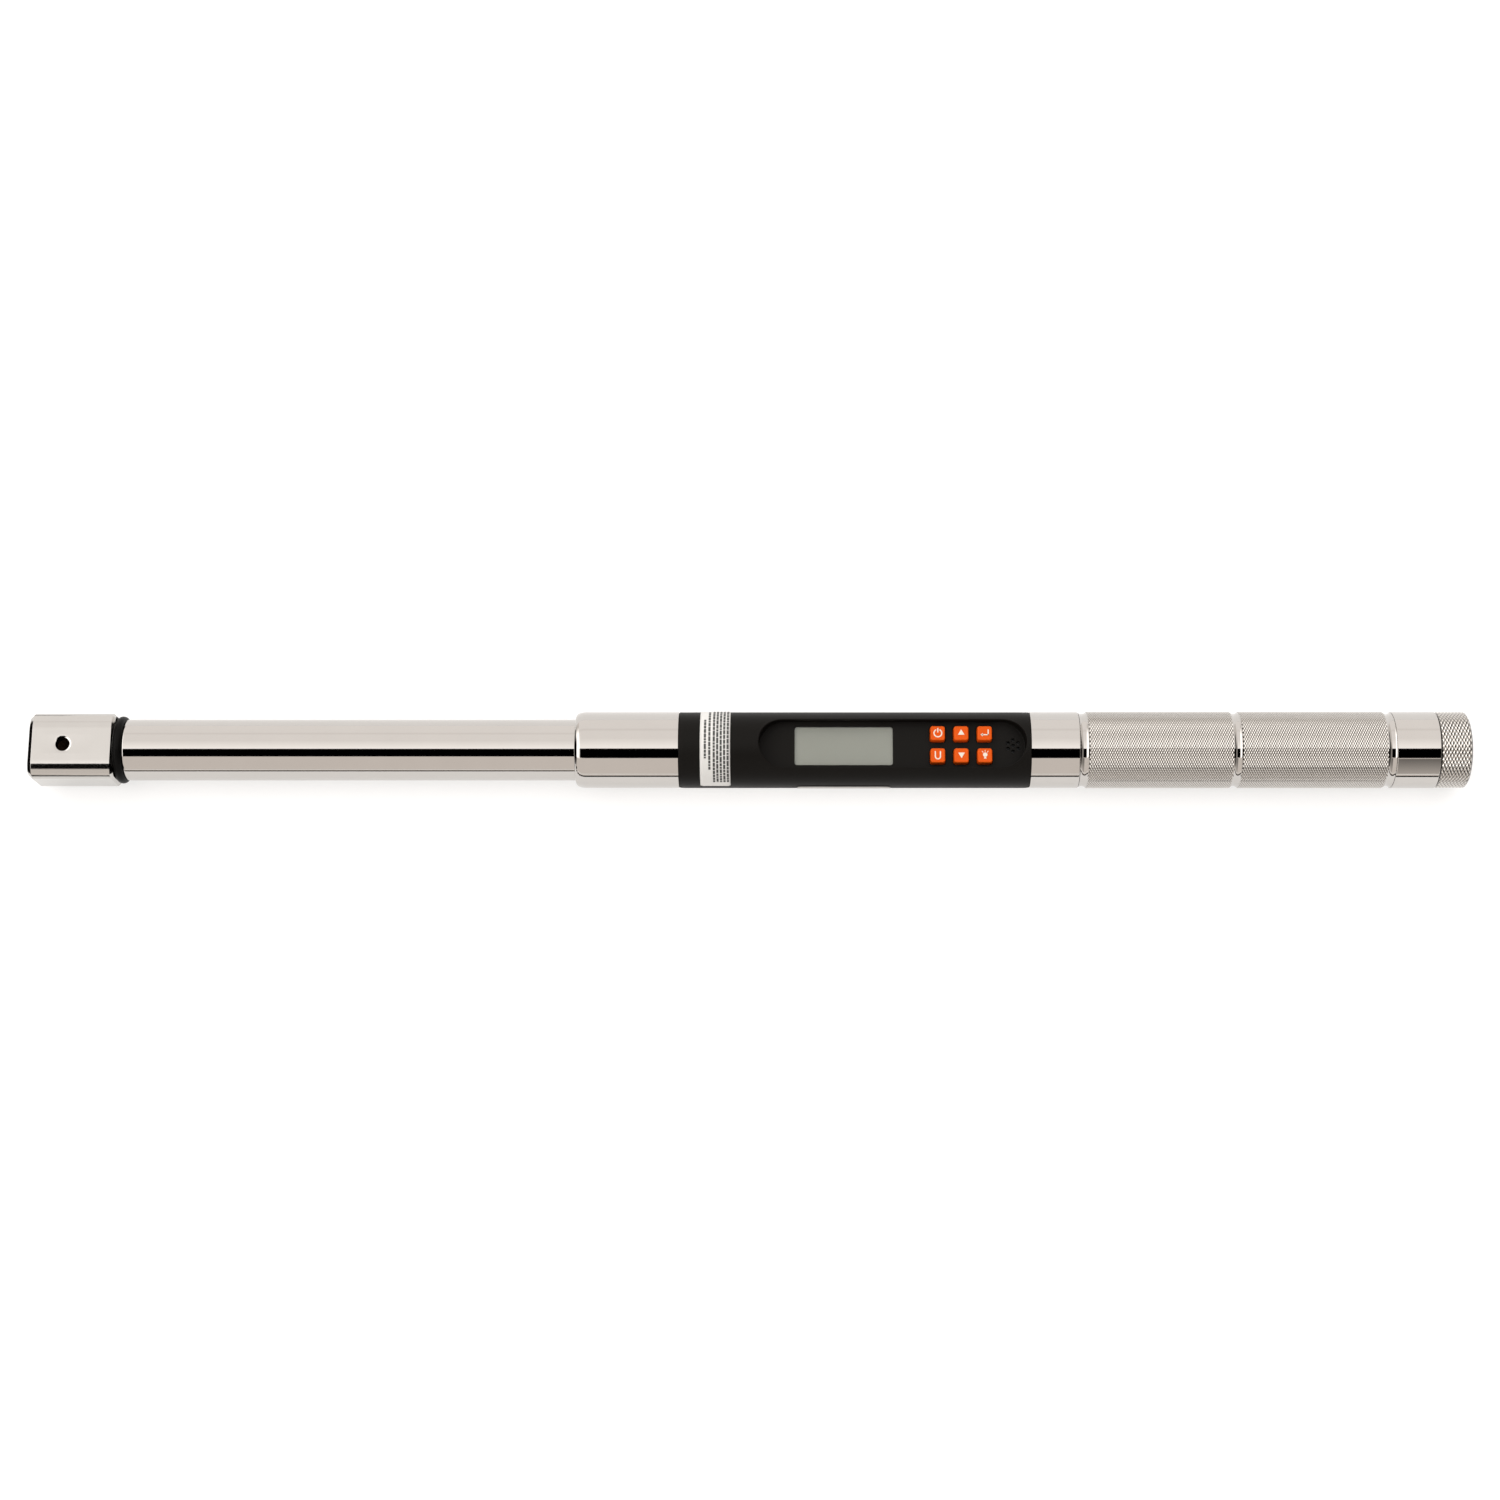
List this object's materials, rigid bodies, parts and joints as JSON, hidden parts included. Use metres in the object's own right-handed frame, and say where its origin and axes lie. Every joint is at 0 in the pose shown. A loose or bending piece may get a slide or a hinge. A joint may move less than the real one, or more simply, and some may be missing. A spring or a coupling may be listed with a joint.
{
  "type": "electronic torque wrench",
  "caption": "Electronic torque wrench with a rectangular insert-tool socket, a round steel tube, a display module with orange keys and a knurled battery handle.",
  "frame": {"origin": "middle of the tool's length on the surface it lies on, straight below its axis", "axes": "+X along the tool towards the end cap, the insert-tool socket opens towards -X, +Z out of the display and +Y to the left of someone holding the handle and looking along the tool to the head"},
  "size_m": [0.6502, 0.0348, 0.0347],
  "materials": {
    "satin_chrome": "satin chrome plate, warm nickel tint",
    "head_chrome": "ground and chrome plated, softer than the tube",
    "steel": "machined steel",
    "black_rubber": "black nitrile rubber",
    "black_plastic": "fine-textured black moulding",
    "orange_key": "orange silicone keys with printed symbols",
    "label_white": "white film label without text",
    "label_silver": "silver film plate without text",
    "clear_window": "clear acrylic window",
    "display": "grey-green reflective liquid crystal panel",
    "board": "green circuit board",
    "chip": "black moulded package",
    "brass": "plated brass contact",
    "battery": "plain wrapped cell",
    "wire": "insulated wire bundle",
    "gauge_foil": "foil strain gauge on polyimide"
  },
  "bodies": {
    "frame": {"head_holder": "head_chrome", "neck_oring": "black_rubber", "front_tube": "satin_chrome", "head_pin": "steel", "torque_beam": "steel", "beam_pin": "steel", "strain_gauge_1": "gauge_foil", "strain_gauge_2": "gauge_foil", "strain_gauge_3": "gauge_foil", "strain_gauge_4": "gauge_foil", "gauge_wires": "wire", "barrel": "satin_chrome", "housing_screw_1": "steel", "housing_screw_2": "steel", "housing_screw_3": "steel", "housing_screw_4": "steel", "rating_plate": "label_silver", "display_housing": "black_plastic", "front_label": "label_white", "display_lens": "clear_window", "lcd_panel": "display", "keypad_mat": "black_rubber", "main_board": "board", "processor": "chip", "memory_chip": "chip", "buzzer": "chip", "handle_grip": "satin_chrome", "handle_collar": "satin_chrome", "battery_tube": "black_plastic", "front_contact": "brass", "battery_1": "battery", "battery_2": "battery", "battery_3": "battery", "battery_wires": "wire"},
    "key_power": {"key_power": "orange_key"},
    "key_up": {"key_up": "orange_key"},
    "key_enter": {"key_enter": "orange_key"},
    "key_units": {"key_units": "orange_key"},
    "key_down": {"key_down": "orange_key"},
    "key_light": {"key_light": "orange_key"},
    "cap_carrier": {"cap_contact": "brass", "cap_spring": "steel"},
    "cap": {"end_cap": "satin_chrome", "cap_oring": "black_rubber"}
  },
  "joints": [
    {"name": "key_power_press", "type": "slide", "parent": "frame", "child": "key_power", "axis": [0, 0, -1], "range_m": [0, 0.0008], "stiffness_N_per_m": 2500},
    {"name": "key_up_press", "type": "slide", "parent": "frame", "child": "key_up", "axis": [0, 0, -1], "range_m": [0, 0.0008], "stiffness_N_per_m": 2500},
    {"name": "key_enter_press", "type": "slide", "parent": "frame", "child": "key_enter", "axis": [0, 0, -1], "range_m": [0, 0.0008], "stiffness_N_per_m": 2500},
    {"name": "key_units_press", "type": "slide", "parent": "frame", "child": "key_units", "axis": [0, 0, -1], "range_m": [0, 0.0008], "stiffness_N_per_m": 2500},
    {"name": "key_down_press", "type": "slide", "parent": "frame", "child": "key_down", "axis": [0, 0, -1], "range_m": [0, 0.0008], "stiffness_N_per_m": 2500},
    {"name": "key_light_press", "type": "slide", "parent": "frame", "child": "key_light", "axis": [0, 0, -1], "range_m": [0, 0.0008], "stiffness_N_per_m": 2500},
    {"name": "cap_travel", "type": "slide", "parent": "frame", "child": "cap_carrier", "axis": [1, 0, 0], "range_m": [0, 0.003]},
    {"name": "cap_unscrew", "type": "hinge", "parent": "cap_carrier", "child": "cap", "pos_m": [0.318, 0, 0.01733], "axis": [1, 0, 0], "range_deg": [0, 720]}
  ],
  "couplings": [
    {"joint": "cap_unscrew", "follows": "cap_travel", "rad_per_m": 4188.8}
  ]
}
